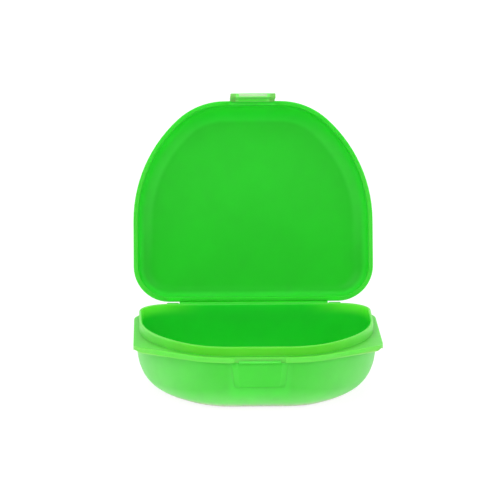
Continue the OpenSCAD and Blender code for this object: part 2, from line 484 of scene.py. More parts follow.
# Besides each piece's plain colour (outer, and the tab's plain), the tones below are painted light and
# shade.
BASE_GREEN = BasePlastic(
    name="base_green", outer=(0.108, 0.69, 0.081), upper=(0.090, 0.67, 0.064), foot=(0.36, 0.98, 0.31),
    sole=(0.89, 1.0, 0.73), seat=(0.125, 0.90, 0.100), inner=(0.036, 0.56, 0.048), wall=(0.012, 0.66, 0.026),
    corner=(0.225, 0.98, 0.080), thin=(0.105, 0.62, 0.018), crest=(0.024, 0.60, 0.004),
    glow=(0.160, 0.75, 0.095), ear=(0.215, 0.68, 0.125), shelf=(0.100, 0.63, 0.042), specular=0.42)
SEAT_GREEN = Plastic(
    name="seat_green", outer=(0.095, 0.74, 0.072), glow=(0.130, 0.81, 0.100), reach=0.4 * MM)
LID_GREEN = LidPlastic(
    name="lid_green", outer=(0.118, 0.70, 0.088), inner=(0.0215, 0.55, 0.021), low=(0.009, 0.545, 0.0095),
    wall=(0.0235, 0.675, 0.0385), flank=(0.053, 0.635, 0.053), steep=(0.042, 0.69, 0.046),
    glow=(0.036, 0.62, 0.028), side=(0.065, 0.62, 0.042), seam=(0.014, 0.78, 0.010),
    seat=(0.070, 0.98, 0.070))
# hinge_green's lit tone: painted light on the front faces of the lid knuckle and the rail, which lie in
# shade.
HINGE_GREEN = LitPlastic(
    name="hinge_green", outer=(0.118, 0.70, 0.088), glow=(0.150, 0.75, 0.110), lit=(0.036, 0.95, 0.030),
    reach=0.8 * MM)
PIN_GREEN = Plastic(name="pin_green", outer=(0.030, 0.50, 0.025), glow=(0.060, 0.60, 0.040))
TAB_GREEN = TabPlastic(
    name="tab_green", outer=(0.700, 0.77, 0.610), glow=(0.360, 0.86, 0.270), root=(0.150, 0.95, 0.105),
    band=(0.260, 0.92, 0.200), rib=(0.235, 0.68, 0.145), plain=(0.118, 0.72, 0.088), reach=0.5 * MM)


class Pen:
    """Draws a chain of edges in one level plane, by extruding and spinning its last vertex."""

    def __init__(self, bm: BMesh, x: float, y: float, z: float = 0.0) -> None:
        """Sets the pen down.

        Args:
            bm: The mesh that is drawn in.
            x: First point.
            y: First point.
            z: Height of the plane.
        """
        self.bm = bm
        self.z = z
        self.first = bm.verts.new((x, y, z))
        self.tip = self.first
        self.verts: list[BMVert] = [self.first]

    def line(self, x: float, y: float) -> BMVert:
        """Draws a straight edge.

        Args:
            x: End of the edge.
            y: End of the edge.

        Returns:
            The vertex at the end.
        """
        self.tip = bmesh.ops.extrude_vert_indiv(self.bm, verts=[self.tip])["verts"][0]
        self.tip.co = (x, y, self.z)
        self.verts.append(self.tip)
        return self.tip

    def run(self, x: float, y: float, steps: int) -> BMVert:
        """Draws a straight line in even edges.

        Args:
            x: End of the line.
            y: End of the line.
            steps: Number of edges.

        Returns:
            The vertex at the end.
        """
        start = self.tip.co.xy
        for step in range(1, steps + 1):
            self.line(*start.lerp((x, y), step / steps))
        return self.tip

    def arc(self, x: float, y: float, angle: float, steps: int) -> None:
        """Turns the tip round a centre.

        Args:
            x: Centre.
            y: Centre.
            angle: Turn in radians, anticlockwise.
            steps: Number of edges.
        """
        for _ in range(steps):
            turned = bmesh.ops.spin(self.bm, geom=[self.tip], cent=(x, y, self.z), axis=(0, 0, 1),
                                    angle=angle / steps, steps=1, use_merge=False)
            self.tip = next(part for part in turned["geom_last"] if isinstance(part, BMVert))
            self.verts.append(self.tip)

    def close(self) -> Ring:
        """Joins the tip to the first point.

        Returns:
            The edges of the closed chain.
        """
        self.bm.edges.new((self.tip, self.first))
        chain = self.verts + [self.first]
        return [self.bm.edges.get(pair) for pair in zip(chain, chain[1:])]


@dataclass(frozen=True)
class Outline:
    """The D-shaped plan of the case, drawn as tangent arcs, and the height where base and lid meet."""

    width: float = 80 * MM
    depth: float = 67 * MM
    parting_z: float = 19 * MM
    front_r: float = 23.4 * MM
    front_turn: float = math.radians(42.3)
    side_r: float = 46 * MM
    rear_r: float = 11.8 * MM
    least_r: float = 1 * MM
    front_cuts: int = 6
    front_steps: int = 10
    side_steps: int = 14
    side_cuts: int = 3
    rear_steps: int = 12
    rear_cuts: int = 18

    @property
    def front_y(self) -> float:
        """The straight front."""
        return -self.depth / 2

    @property
    def rear_y(self) -> float:
        """The straight rear."""
        return self.depth / 2

    @property
    def front_half(self) -> float:
        """Half the length of the straight front."""
        lean = math.sin(self.front_turn)
        return self.width / 2 - self.front_r * lean - self.side_r * (1 - lean)

    @property
    def side_y(self) -> float:
        """Where the side curve ends in the straight side."""
        rise = math.cos(self.front_turn)
        return self.front_y + self.front_r * (1 - rise) + self.side_r * rise

    def ring(self, bm: BMesh, side: float, rear: float, z: float) -> Ring:
        """Draws the outline moved in.

        Args:
            bm: The mesh that is drawn in.
            side: Inset of the front and the sides.
            rear: Inset of the hinge edge.
            z: Height of the ring.

        Returns:
            The ring's edges.
        """
        corner = max(self.rear_r - rear, self.least_r)
        corner_x = self.width / 2 - side - corner
        corner_y = self.rear_y - rear - corner
        side_x = self.width / 2 - self.side_r
        front_cy = self.front_y + self.front_r
        rest = math.pi / 2 - self.front_turn
        closing = self.front_turn / self.front_steps
        pen = Pen(bm, -self.front_half, self.front_y + side, z)
        pen.run(self.front_half, self.front_y + side, self.front_cuts)
        pen.arc(self.front_half, front_cy, self.front_turn, self.front_steps)
        pen.arc(side_x, self.side_y, rest, self.side_steps)
        pen.run(self.width / 2 - side, corner_y, self.side_cuts)
        pen.arc(corner_x, corner_y, math.pi / 2, self.rear_steps)
        pen.run(-corner_x, corner_y + corner, self.rear_cuts)
        pen.arc(-corner_x, corner_y, math.pi / 2, self.rear_steps)
        pen.run(side - self.width / 2, self.side_y, self.side_cuts)
        pen.arc(-side_x, self.side_y, rest, self.side_steps)
        pen.arc(-self.front_half, front_cy, self.front_turn - closing, self.front_steps - 1)
        return pen.close()


@dataclass(frozen=True)
class Level:
    """One ring of a lofted wall: how far it lies in from the outline, and how high."""

    side: float
    rear: float
    z: float


@dataclass(frozen=True)
class Curve:
    """A wall that curves in from an upright edge to a flat end."""

    edge: float
    reach: float
    rear_reach: float
    power: float
    start_z: float
    end_z: float
    steps: int = 18

    def levels(self) -> list[Level]:
        """Works out the wall's rings.

        Returns:
            The rings, from the wall's edge to its flat end.
        """
        made = []
        for step in range(self.steps + 1):
            turn = math.pi / 2 * step / self.steps
            bend = 1 - max(math.cos(turn), 0.0) ** (2 / self.power)
            drop = math.sin(turn) ** (2 / self.power)
            made.append(Level(self.edge + self.reach * bend, self.edge + self.rear_reach * bend,
                              self.start_z + (self.end_z - self.start_z) * drop))
        return made


def loft(bm: BMesh, plan: Outline, levels: list[Level],
         caps: tuple[bool, bool] = (True, True)) -> tuple[Ring, Ring]:
    """Bridges rings of the outline into a skin, level steps first.

    Args:
        bm: The mesh that is drawn in.
        plan: The outline.
        levels: The rings in order.
        caps: Whether the first and the last ring get a flat end.

    Returns:
        The first and the last ring.
    """
    rings = [plan.ring(bm, level.side, level.rear, level.z) for level in levels]
    pairs = sorted(range(len(rings) - 1), key=lambda i: levels[i].z != levels[i + 1].z)
    for i in pairs:
        bmesh.ops.bridge_loops(bm, edges=rings[i] + rings[i + 1])
    ends = rings[0], rings[-1]
    for end, capped in zip(ends, caps):
        if capped:
            bmesh.ops.edgeloop_fill(bm, edges=end)
    return ends


def fill(bm: BMesh, edges: Ring) -> list[BMFace]:
    """Fills the plane between closed chains.

    Args:
        bm: The mesh.
        edges: The edges of the chains.

    Returns:
        The new faces.
    """
    filled = bmesh.ops.triangle_fill(bm, use_beauty=True, use_dissolve=True, edges=edges)
    return [part for part in filled["geom"] if isinstance(part, BMFace)]


def prism(bm: BMesh, loops: list[Ring], length: float, x: float = 0.0) -> list[BMVert]:
    """Makes a bar along X of closed chains that are drawn in the level plane.

    Args:
        bm: The mesh that is drawn in.
        loops: The outer chain of the section, Y then Z, and any holes.
        length: Length of the bar.
        x: Middle of the bar.

    Returns:
        The bar's vertices.
    """
    faces = fill(bm, [edge for loop in loops for edge in loop])
    low = {vert for face in faces for vert in face.verts}
    drawn = bmesh.ops.extrude_face_region(bm, geom=faces, use_keep_orig=True)
    high = [part for part in drawn["geom"] if isinstance(part, BMVert)]
    bmesh.ops.translate(bm, verts=high, vec=(0, 0, length))
    bar = list(low) + high
    turn = Matrix(((0, 0, 1, 0), (1, 0, 0, 0), (0, 1, 0, 0), (0, 0, 0, 1)))
    bmesh.ops.transform(bm, matrix=Matrix.Translation((x - length / 2, 0, 0)) @ turn, verts=bar)
    return bar


def plain_bar(bm: BMesh, points: list[Span], length: float, x: float = 0.0) -> list[BMVert]:
    """Makes a bar along X with a section of straight lines.

    Args:
        bm: The mesh that is drawn in.
        points: The section's corners, Y then Z.
        length: Length of the bar.
        x: Middle of the bar.

    Returns:
        The bar's vertices.
    """
    pen = Pen(bm, *points[0])
    for point in points[1:]:
        pen.line(*point)
    return prism(bm, [pen.close()], length, x)


def paint(faces: Iterable[BMFace], layer: BMLayerItem, value: float) -> None:
    """Writes a mark on every corner of some faces."""
    for corner in (corner for face in faces for corner in face.loops):
        corner[layer] = value


@dataclass(frozen=True)
class Rounding:
    """How edges are rounded: width, faces across, and the smallest angle in degrees that counts."""

    radius: float
    segments: int
    sharp: float


def soften(bm: BMesh, rounding: Rounding, keep: Optional[Callable[[BMEdge], bool]] = None,
           glow: float = 1.0) -> None:
    """Rounds the sharp edges and marks the new faces as thin edges, which take the painted-light edge tone.

    Args:
        bm: The mesh.
        rounding: How the edges are rounded.
        keep: Picks the edges, where not all sharp ones are meant.
        glow: How much of the edges' painted-light tone the new faces take.
    """
    bmesh.ops.recalc_face_normals(bm, faces=bm.faces[:])
    layer = bm.loops.layers.float.get("edge") or bm.loops.layers.float.new("edge")
    least = math.radians(rounding.sharp)
    chosen = [edge for edge in bm.edges if len(edge.link_faces) == 2
              and edge.calc_face_angle(0.0) > least and (keep is None or keep(edge))]
    rounded = bmesh.ops.bevel(bm, geom=chosen, offset=rounding.radius, offset_type="OFFSET", affect="EDGES",
                              segments=rounding.segments, profile=0.5, material=-1, clamp_overlap=True)
    paint(rounded["faces"], layer, glow)


def mark_edge(bm: BMesh, thin: Callable[[BMFace], bool], glow: float = 1.0) -> None:
    """Gives whole faces of a softened mesh the edges' painted-light tone."""
    paint(filter(thin, bm.faces), bm.loops.layers.float["edge"], glow)


def mark_inside(bm: BMesh, hollow: Callable[[BMFace], bool]) -> None:
    """Marks the faces of a moulding's hollow side, and how upright they stand.

    Args:
        bm: The mesh.
        hollow: Tells whether a face is on the hollow side.
    """
    bmesh.ops.recalc_face_normals(bm, faces=bm.faces[:])
    bm.normal_update()
    inside, upright = bm.loops.layers.float.new("inside"), bm.loops.layers.float.new("upright")
    for face in filter(hollow, bm.faces):
        for corner in face.loops:
            corner[inside] = 1.0
            corner[upright] = math.sqrt(1.0 - abs(corner.vert.normal.z))


def looks_in(face: BMFace) -> bool:
    """Whether a face looks towards the middle of the plan."""
    return face.normal.xy.dot(face.calc_center_median().xy) < -LEAST


def stand(name: str, data: bpy.types.ID) -> bpy.types.Object:
    """Puts a mesh, a lamp or a camera in the scene.

    Args:
        name: The object's name.
        data: What the object shows.

    Returns:
        The new object.
    """
    made = bpy.data.objects.new(name, data)
    bpy.context.scene.collection.objects.link(made)
    return made


def piece(build: Callable[[BMesh], None], name: str, finish: bpy.types.Material, body: Body, slot: Slot,
          *nodes: str) -> None:
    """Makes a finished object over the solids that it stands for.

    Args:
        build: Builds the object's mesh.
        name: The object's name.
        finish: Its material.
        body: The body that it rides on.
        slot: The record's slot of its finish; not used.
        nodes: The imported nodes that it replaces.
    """
    bm = bmesh.new()
    build(bm)
    bmesh.ops.recalc_face_normals(bm, faces=bm.faces[:])
    for face in bm.faces:
        face.smooth = True
    mesh = bpy.data.meshes.new(name)
    bm.to_mesh(mesh)
    bm.free()
    mesh.materials.append(finish)
    made = stand(name, mesh)
    weighted = made.modifiers.new("even_shading", "WEIGHTED_NORMAL")
    weighted.weight = SHADING_WEIGHT
    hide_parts(*nodes)
    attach(made, body.value)
    log.info("%s: %d faces", name, len(mesh.polygons))


@dataclass
class Base:
    """The base moulding: tray, collar, flange with grip ears, and the latch seat."""

    plan: Outline
    wall: float = 1.8 * MM
    floor: float = 1.6 * MM
    setback: float = 1 * MM
    reach: float = 14.6 * MM
    rear_reach: float = 6 * MM
    power: float = 2.8
    side_lean: float = 0.3 * MM
    lean_span: Span = (0.2, 0.4)
    flange_t: float = 1.8 * MM
    flange_round: Rounding = Rounding(0.22 * MM, 3, SQUARE)
    ear_setback: float = 16.2 * MM
    ear_out: float = 0.4 * MM
    ear_r: float = 4.5 * MM
    ear_soft: float = 3.5 * MM
    ear_lift: float = 1.1 * MM
    front_steps: int = 8
    fore_cuts: int = 6
    aft_cuts: int = 12
    corner_steps: int = 6
    collar_inset: float = 1.7 * MM
    collar_h: float = 3 * MM
    rim_round: Rounding = Rounding(0.4 * MM, 3, SQUARE)
    rim_glow: float = 0.3
    notch_w: float = 16.3 * MM
    notch_d: float = 0.5 * MM
    notch_r: float = 0.45 * MM
    pad_w: float = 14.5 * MM
    pad_draft: float = 0.75 * MM
    pad_h: float = 8.2 * MM
    pad_depth: float = 1.7 * MM
    pad_proud: float = 0.4 * MM
    pad_slope: float = 9 * MM
    pad_fade: float = 0.3 * MM
    pad_taper: float = 0.25
    pad_cuts: int = 5
    pad_round: Rounding = Rounding(0.3 * MM, 3, FAINT)
    pad_face: float = 0.1 * MM
    flank_turn: float = 0.1
    flank_glow: float = 0.4
    ridge_w: float = 13.4 * MM
    ridge_h: float = 0.8 * MM
    ridge_drop: float = 0.2 * MM
    ridge_past: float = 0.1 * MM
    ridge_sunk: float = 0.3 * MM
    ridge_round: Rounding = Rounding(0.15 * MM, 2, SLOPED)

    @property
    def flange_z(self) -> float:
        """Underside of the flange."""
        return self.plan.parting_z - self.flange_t

    @property
    def rim_z(self) -> float:
        """Top of the collar."""
        return self.plan.parting_z + self.collar_h

    @property
    def ear(self) -> Vector:
        """The point of the right ear in plan, before it is rounded."""
        return Vector((self.plan.width / 2 + self.ear_out, self.plan.front_y + self.ear_setback))

    def in_flange(self, z: float) -> bool:
        """Whether a height is in the flange."""
        return self.flange_z - SAME < z < self.plan.parting_z + SAME

    def is_hollow(self, face: BMFace) -> bool:
        """Whether a face is floor above the ground, or wall that looks to the middle.

        Args:
            face: A face of the moulding.

        Returns:
            True on the hollow side.
        """
        z = face.calc_center_median().z
        on_floor = self.floor / 2 < z < self.flange_z and face.normal.z > LEVEL
        return not self.in_flange(z) and (looks_in(face) or on_floor)

    def draw_flange(self, bm: BMesh) -> Ring:
        """Draws the flange's edge with its ears and notch.

        Args:
            bm: The empty mesh that is drawn in.

        Returns:
            The edges of the flange's underside.
        """
        plan, ear = self.plan, self.ear
        front = plan.front_y
        fore = Vector((plan.front_half, front + plan.front_r))
        aft = Vector((plan.width / 2 - plan.rear_r, plan.rear_y - plan.rear_r))
        touch = math.atan2(*(ear - fore).yx) - math.acos(plan.front_r / (ear - fore).length)
        leave = math.atan2(*(ear - aft).yx) + math.acos(plan.rear_r / (ear - aft).length)
        touch_x, touch_y = plan.front_r * math.cos(touch), plan.front_r * math.sin(touch)
        leave_x, leave_y = plan.rear_r * math.cos(leave), plan.rear_r * math.sin(leave)
        notch_x, notch_y = self.notch_w / 2, front + self.notch_d
        pen = Pen(bm, -notch_x, notch_y, self.flange_z)
        pen.line(notch_x, notch_y)
        mouths = [pen.line(notch_x, front)]
        pen.line(plan.front_half, front)
        pen.arc(fore.x, fore.y, touch + math.pi / 2, self.front_steps)
        ears = [pen.run(ear.x, ear.y, self.fore_cuts)]
        pen.run(aft.x + leave_x, aft.y + leave_y, self.aft_cuts)
        pen.arc(aft.x, aft.y, math.pi / 2 - leave, plan.rear_steps)
        pen.line(-aft.x, plan.rear_y)
        pen.arc(-aft.x, aft.y, math.pi / 2 - leave, plan.rear_steps)
        ears.append(pen.run(-ear.x, ear.y, self.aft_cuts))
        pen.run(-fore.x - touch_x, fore.y + touch_y, self.fore_cuts)
        pen.arc(-fore.x, fore.y, touch + math.pi / 2, self.front_steps)
        mouths.append(pen.line(-notch_x, front))
        bmesh.ops.edgeloop_fill(bm, edges=pen.close())
        for corners, cut in ((ears, self.ear_r * math.tan((leave - touch) / 2)), (mouths, self.notch_r)):
            bmesh.ops.bevel(bm, geom=corners, offset=cut, offset_type="OFFSET", affect="VERTICES",
                            segments=self.corner_steps, profile=0.5, material=-1)
        edges = bm.edges[:]
        bmesh.ops.delete(bm, geom=bm.faces[:], context="FACES_ONLY")
        return edges

    def bowl_levels(self) -> list[Level]:
        """The rings of the bowl's outside, from the ground to the flange."""
        outside = Curve(self.setback, self.reach, self.rear_reach, self.power, self.flange_z, 0.0)
        return outside.levels()[::-1]

    def hollow_levels(self) -> list[Level]:
        """Works out the rings of the collar and of the hollow.

        Returns:
            The rings, from the flange's top over the rim to the floor.
        """
        inner = self.setback + self.wall
        foot = (self.collar_inset, self.plan.parting_z)
        neck = [foot, (self.collar_inset, self.rim_z), (inner, self.rim_z)]
        inside = Curve(inner, self.reach - self.wall, self.rear_reach - self.wall, self.power,
                       self.flange_z, self.floor)
        return [Level(inset, inset, z) for inset, z in neck] + inside.levels()

    def lean_sides(self, verts: set[BMVert]) -> None:
        """Leans the side walls out a little towards the flange.

        Args:
            verts: The vertices of the bowl.
        """
        low, high = self.lean_span
        for vert in verts:
            climb = vert.co.z / self.flange_z
            aside = (abs(vert.co.x) / self.plan.width - low) / (high - low)
            lean = self.side_lean * climb * min(max(aside, 0.0), 1.0)
            vert.co.x += math.copysign(lean, vert.co.x)

    def blunt_ears(self, bm: BMesh) -> None:
        """Lifts the flange's underside at the tips of the ears, which rounds their lower corners.

        Args:
            bm: The mesh with the flange.
        """
        tip = self.ear
        for vert in bm.verts:
            if self.flange_z - SAME < vert.co.z < self.plan.parting_z:
                away = (Vector((abs(vert.co.x), vert.co.y)) - tip).length
                share = max(1 - away / self.ear_soft, 0.0) ** 2
                vert.co.z += self.ear_lift * share * (self.plan.parting_z - vert.co.z) / self.flange_t

    def build_moulding(self, bm: BMesh) -> None:
        """Lofts the bowl up to the flange and the collar down into the hollow, and joins them by the flange.

        Args:
            bm: The empty mesh that is drawn in.
        """
        under = self.draw_flange(bm)
        flange = set(bm.verts)
        _, bowl = loft(bm, self.plan, self.bowl_levels(), (True, False))
        self.lean_sides(set(bm.verts) - flange)
        collar, _ = loft(bm, self.plan, self.hollow_levels(), (False, True))
        raised = bmesh.ops.extrude_edge_only(bm, edges=under)["geom"]
        bmesh.ops.translate(bm, verts=[part for part in raised if isinstance(part, BMVert)],
                            vec=(0, 0, self.flange_t))
        fill(bm, under + bowl)
        fill(bm, [part for part in raised if isinstance(part, BMEdge)] + collar)
        soften(bm, self.rim_round, lambda edge: min(vert.co.z for vert in edge.verts) > self.rim_z - SAME,
               self.rim_glow)
        soften(bm, self.flange_round, lambda edge: all(self.in_flange(vert.co.z) for vert in edge.verts))
        self.blunt_ears(bm)
        # The flange takes the edge tone: painted light through its thin edge.
        mark_edge(bm, lambda face: self.in_flange(face.calc_center_median().z))
        # The hollow side takes the inside tones: painted shade on the floor, painted light on the walls.
        mark_inside(bm, self.is_hollow)

    def build_seat(self, bm: BMesh) -> None:
        """Shapes the latch's landing pad with its sloped flanks, and the catch ridge.

        Args:
            bm: The empty mesh that is drawn in.
        """
        wall_y = self.plan.front_y + self.setback
        face_y = wall_y - self.pad_proud
        top, low = self.flange_z - self.ridge_drop, self.flange_z - self.pad_h
        for vert in bmesh.ops.create_cube(bm, size=1.0)["verts"]:
            upper, back = vert.co.z > 0, vert.co.y > 0
            flare = self.pad_slope * (1.0 if upper else self.pad_taper) if back else 0.0
            half = self.pad_w / 2 - (0.0 if upper else self.pad_draft) + flare
            vert.co = (math.copysign(half, vert.co.x), face_y + (self.pad_depth if back else 0.0),
                       top if upper else low - (self.pad_fade if back else 0.0))
        bmesh.ops.subdivide_edges(bm, edges=bm.edges[:], cuts=self.pad_cuts, use_grid_fill=True)
        front = face_y + self.pad_face
        soften(bm, self.pad_round, lambda edge: all(vert.co.y < front for vert in edge.verts), glow=0.0)
        bmesh.ops.dissolve_degenerate(bm, dist=LEAST, edges=bm.edges[:])
        # The pad's flanks take part of the seat's edge tone: painted light.
        mark_edge(bm, lambda face: abs(face.normal.x) > self.flank_turn, self.flank_glow)
        ridge_y, root_y = self.plan.front_y - self.ridge_past, wall_y + self.ridge_sunk
        half_h, crest = self.ridge_h / 2, top + self.ridge_h
        ridge = set(plain_bar(bm, [(root_y, top), (ridge_y, top), (ridge_y, top + half_h),
                                   (ridge_y + half_h, crest), (root_y, crest)], self.ridge_w))
        soften(bm, self.ridge_round, lambda edge: ridge.issuperset(edge.verts))

    def dress(self, finish: bpy.types.Material, seat: bpy.types.Material) -> None:
        """Builds the base's pieces and gives them their finishes."""
        piece(self.build_moulding, "base_moulding", finish, Body.BASE, Slot.BASE, "base_tray")
        piece(self.build_seat, "latch_seat", seat, Body.BASE, Slot.BASE, "latch_keeper")


@dataclass
class OpenLid:
    """The lid moulding, drawn closed and then turned open about the hinge."""

    plan: Outline
    height: float = 9 * MM
    wall: float = 1.4 * MM
    skirt: float = 2.6 * MM
    reach: float = 7.6 * MM
    rear_reach: float = 6 * MM
    power: float = 2.2
    seam: float = 0.05 * MM
    rim_round: Rounding = Rounding(0.12 * MM, 3, SQUARE)
    hinge_y: float = 36.1 * MM
    open_angle: float = math.radians(105)

    @property
    def opened(self) -> Matrix:
        """The turn from closed to open."""
        axis = Matrix.Translation((0, self.hinge_y, self.plan.parting_z))
        return axis @ Matrix.Rotation(-self.open_angle, 4, "X") @ axis.inverted()

    def turn_open(self, bm: BMesh) -> None:
        """Turns a mesh that is drawn on the closed lid."""
        bmesh.ops.transform(bm, matrix=self.opened, verts=bm.verts[:])

    def build_shell(self, bm: BMesh) -> None:
        """Lofts the shallow lid and rounds its rim.

        Args:
            bm: The empty mesh that is drawn in.
        """
        start, top = self.plan.parting_z + self.skirt, self.plan.parting_z + self.height
        foot = self.plan.parting_z + self.seam
        inside = Curve(self.wall, self.reach - self.wall, self.rear_reach - self.wall, self.power, start,
                       top - self.wall)
        outside = Curve(0.0, self.reach, self.rear_reach, self.power, start, top)
        rim = [Level(self.wall, self.wall, foot), Level(0.0, 0.0, foot)]
        loft(bm, self.plan, inside.levels()[::-1] + rim + outside.levels())
        soften(bm, self.rim_round)
        rim_top = foot + self.rim_round.radius + SAME
        # The rim takes the edge tones, and the hollow side the inside tones: painted light and shade.
        mark_edge(bm, lambda face: face.calc_center_median().z < rim_top)
        mark_inside(bm, lambda face: face.normal.z < -LEVEL or looks_in(face))
        self.turn_open(bm)

    def dress(self, finish: bpy.types.Material) -> None:
        """Builds the lid's shell and gives it its finish."""
        piece(self.build_shell, "lid_moulding", finish, Body.LID, Slot.LID, "lid_shell")


@dataclass
class Hinge:
    """The pinned hinge: two base knuckles, one lid knuckle with its stop heel, and the pin."""

    base: Base
    lid: OpenLid
    knuckle_r: float = 2.2 * MM
    knuckle_gap: float = 0.4 * MM
    knuckle_len: float = 4 * MM
    barrel_steps: int = 40
    barrel_round: Rounding = Rounding(0.2 * MM, 2, SQUARE)
    length: float = 58 * MM
    end_gap: float = 0.25 * MM
    leaf_t: float = 2 * MM
    leaf_gap: float = 0.2 * MM
    leaf_sunk: float = 0.2 * MM
    leaf_steps: int = 20
    back_steps: int = 14
    leaf_round: Rounding = Rounding(0.15 * MM, 2, SQUARE)
    heel_t: float = 0.8 * MM
    heel_reach: float = 0.3 * MM
    stop_gap: float = math.radians(2)
    pin_r: float = 1 * MM
    pin_hold: float = 0.01 * MM
    pin_run: float = 0.05 * MM
    pin_steps: int = 40
    bore_steps: int = 32
    long_share: float = 0.9

    @property
    def axis(self) -> Span:
        """Where the pin's axis cuts the section, Y then Z."""
        return self.lid.hinge_y, self.lid.plan.parting_z

    @property
    def leaf_y(self) -> float:
        """Where the leaves start, a little inside the rear edge."""
        return self.lid.plan.rear_y - self.leaf_sunk

    def bore(self, bm: BMesh, radius: float) -> Ring:
        """Draws the round hole for the pin in the section plane.

        Args:
            bm: The mesh that is drawn in.
            radius: Radius of the hole.

        Returns:
            The hole's edges.
        """
        y, z = self.axis
        steps = self.bore_steps - 1
        pen = Pen(bm, y + radius, z)
        pen.arc(y, z, math.tau * steps / self.bore_steps, steps)
        return pen.close()

    def build_base_knuckles(self, bm: BMesh) -> None:
        """Draws the two outer knuckles with their leaves.

        Args:
            bm: The empty mesh that is drawn in.
        """
        (y, z), r = self.axis, self.knuckle_r
        under = self.base.flange_t
        start = math.pi + math.asin(under / r)
        end = math.pi + math.asin(self.leaf_gap / r)
        middle = (self.length - self.knuckle_len) / 2
        for x in (-middle, middle):
            pen = Pen(bm, self.leaf_y, z - under)
            pen.line(y + r * math.cos(start), z - under)
            pen.arc(y, z, end + math.tau - start, self.barrel_steps)
            pen.line(self.leaf_y, z - self.leaf_gap)
            prism(bm, [pen.close(), self.bore(bm, self.pin_r + self.pin_hold)], self.knuckle_len, x)
        soften(bm, self.barrel_round, lambda edge: edge.calc_length() < self.knuckle_len * self.long_share)

    def build_lid_knuckle(self, bm: BMesh) -> None:
        """Draws the middle knuckle with its leaf and stop heel, turned open.

        Args:
            bm: The empty mesh that is drawn in.
        """
        (y, z), r = self.axis, self.knuckle_r
        width = self.length - 2 * (self.knuckle_len + self.end_gap)
        edge = Vector((r + self.knuckle_gap, self.base.flange_t))
        heel = math.pi + math.atan2(edge.y, edge.x) + self.stop_gap + self.lid.open_angle
        start = math.pi - math.asin(self.leaf_gap / r)
        back = heel + math.asin(self.heel_t / r)
        along = Vector((math.cos(heel), math.sin(heel)))
        tip = Vector(self.axis) + along * (edge.length + self.heel_reach)
        over = tip + Vector((-along.y, along.x)) * self.heel_t
        pen = Pen(bm, self.leaf_y, z + self.leaf_gap)
        pen.line(y + r * math.cos(start), z + self.leaf_gap)
        pen.arc(y, z, heel - start, self.leaf_steps)
        pen.line(*tip)
        pen.line(*over)
        pen.line(y + r * math.cos(back), z + r * math.sin(back))
        pen.arc(y, z, math.tau + math.pi / 2 - back, self.back_steps)
        pen.line(self.leaf_y, z + self.leaf_gap + self.leaf_t)
        prism(bm, [pen.close(), self.bore(bm, self.pin_r + self.pin_run)], width)
        self.lid.turn_open(bm)
        soften(bm, self.leaf_round, lambda edge: edge.calc_length() < width * self.long_share)
        # The faces that look to the front and up take the lit tone: painted light where the knuckle lies in
        # shade.
        mark_inside(bm, lambda face: face.normal.y < -TURNED and face.calc_center_median().z > z + r / 2)

    def build_pin(self, bm: BMesh) -> None:
        """Turns the pin with rounded ends.

        Args:
            bm: The empty mesh that is drawn in.
        """
        place = Matrix.Translation((0, *self.axis)) @ Matrix.Rotation(math.pi / 2, 4, "Y")
        bmesh.ops.create_cone(bm, cap_ends=True, segments=self.pin_steps, radius1=self.pin_r,
                              radius2=self.pin_r, depth=self.length, matrix=place)
        soften(bm, self.barrel_round)

    def dress(self, finish: bpy.types.Material, pin: bpy.types.Material) -> None:
        """Builds the hinge's pieces and gives them their finishes.

        Args:
            finish: The knuckles' material.
            pin: The pin's material.
        """
        piece(self.build_base_knuckles, "hinge_base_knuckles", finish, Body.BASE, Slot.BASE, "base_knuckles")
        piece(self.build_lid_knuckle, "hinge_lid_knuckle", finish, Body.LID, Slot.LID, "lid_knuckle")
        piece(self.build_pin, "hinge_pin_rod", pin, Body.BASE, Slot.PIN, "hinge_pin")


